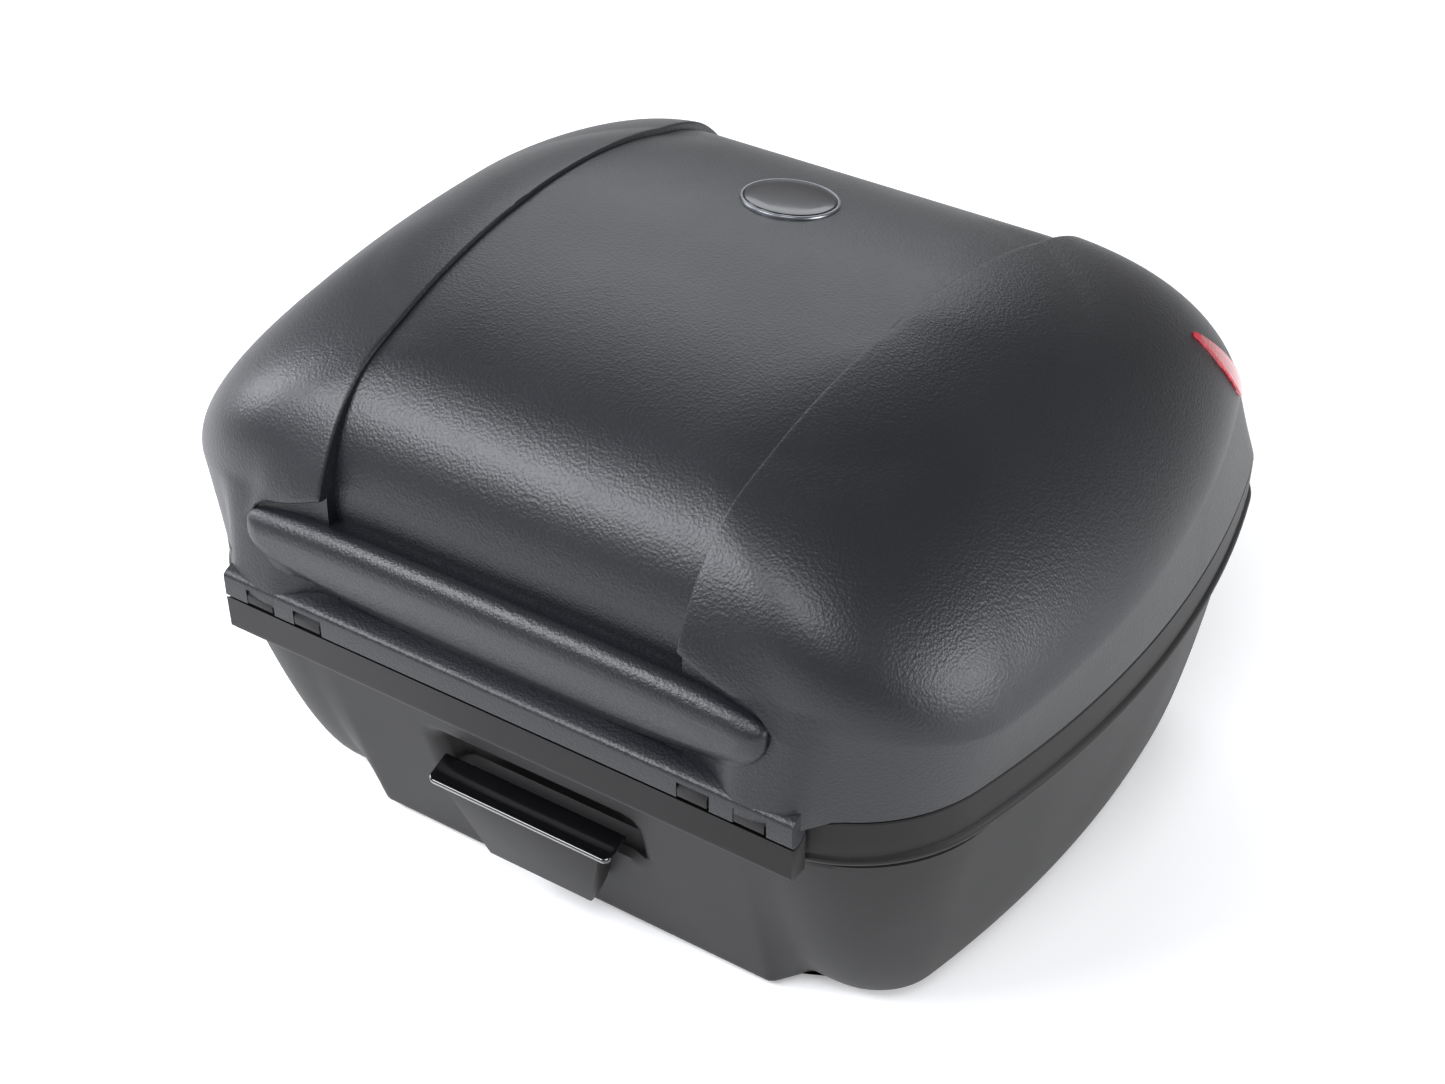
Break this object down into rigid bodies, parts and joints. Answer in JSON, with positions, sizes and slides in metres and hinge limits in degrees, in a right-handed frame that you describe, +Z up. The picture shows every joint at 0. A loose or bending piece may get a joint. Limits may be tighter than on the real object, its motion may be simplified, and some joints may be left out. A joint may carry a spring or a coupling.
{
  "type": "motorcycle top case",
  "caption": "Hard-shell motorcycle luggage case with a hinged domed lid, cam lock, carry handle and a sprung release lever that frees it from a tubular rack.",
  "frame": {"origin": "centre of the case's box, on the surface that its feet stand on", "axes": "+Z up; the hinge and the release lever face -Y, the lock and handle +Y; +X is to the right when looking along +Y"},
  "size_m": [0.5046, 0.42, 0.3331],
  "materials": {
    "lid_abs": "moulded, fine grain",
    "base_abs": "moulded, finer grain",
    "dark_nylon": "moulded nylon, satin",
    "gloss_black": "polished",
    "badge_gloss": "domed clear resin over black",
    "badge_ring": "bright turned edge",
    "zinc_steel": "zinc plated",
    "painted_steel": "black powder coat",
    "chromed_zinc": "satin chrome",
    "black_rubber": "moulded rubber",
    "mat_felt": "needled felt",
    "red_acrylic": "moulded prismatic acrylic"
  },
  "bodies": {
    "base": {"base_shell": "base_abs", "base_hinge_rail": "base_abs", "hinge_pin_left": "zinc_steel", "hinge_pin_right": "zinc_steel", "rim_seal": "black_rubber", "floor_mat": "mat_felt", "rubber_feet": "black_rubber", "bar_saddles": "dark_nylon", "rear_hooks": "dark_nylon", "base_screws": "zinc_steel", "bolt_guides": "dark_nylon", "guide_lips": "dark_nylon", "lever_bracket": "dark_nylon", "lever_pin": "zinc_steel", "lever_spring": "zinc_steel", "lock_housing": "dark_nylon", "housing_screws": "zinc_steel", "handle_lug_left": "dark_nylon", "handle_lug_right": "dark_nylon", "handle_pin_left": "zinc_steel", "handle_pin_right": "zinc_steel"},
    "lever": {"release_lever": "base_abs", "grip_plate": "gloss_black", "grip_screws": "zinc_steel", "crank_pin": "zinc_steel"},
    "latch": {"latch_bolt": "painted_steel"},
    "handle": {"carry_handle": "dark_nylon", "handle_sleeve": "black_rubber"},
    "lock": {"lock_barrel": "chromed_zinc", "lock_cam": "zinc_steel", "cam_nut": "zinc_steel"},
    "lid": {"lid_shell": "lid_abs", "lid_hinge_rail": "lid_abs", "rail_screws": "zinc_steel", "front_cover": "lid_abs", "badge": "badge_gloss", "badge_rim": "badge_ring", "reflector_left": "red_acrylic", "reflector_right": "red_acrylic", "lid_catch": "dark_nylon", "catch_screws": "zinc_steel"}
  },
  "joints": [
    {"name": "lid_hinge", "type": "hinge", "parent": "base", "child": "lid", "pos_m": [0, -0.2045, 0.1775], "axis": [1, 0, 0], "range_deg": [0, 80]},
    {"name": "lever_pivot", "type": "hinge", "parent": "base", "child": "lever", "pos_m": [0, -0.17278, 0.04104], "axis": [1, 0, 0], "range_deg": [0, 20], "stiffness_Nm_per_rad": 0.6, "springref_deg": -20.05},
    {"name": "latch_slide", "type": "slide", "parent": "base", "child": "latch", "axis": [0, 1, 0], "range_m": [0, 0.00673]},
    {"name": "handle_swing", "type": "hinge", "parent": "base", "child": "handle", "pos_m": [0, 0.2044, 0.116], "axis": [1, 0, 0], "range_deg": [0, 85]},
    {"name": "lock_turn", "type": "hinge", "parent": "base", "child": "lock", "pos_m": [0, 0.2, 0.132], "axis": [0, 1, 0], "range_deg": [0, 90]}
  ],
  "couplings": [
    {"joint": "latch_slide", "follows": "lever_pivot", "m_per_rad": 0.01928}
  ]
}
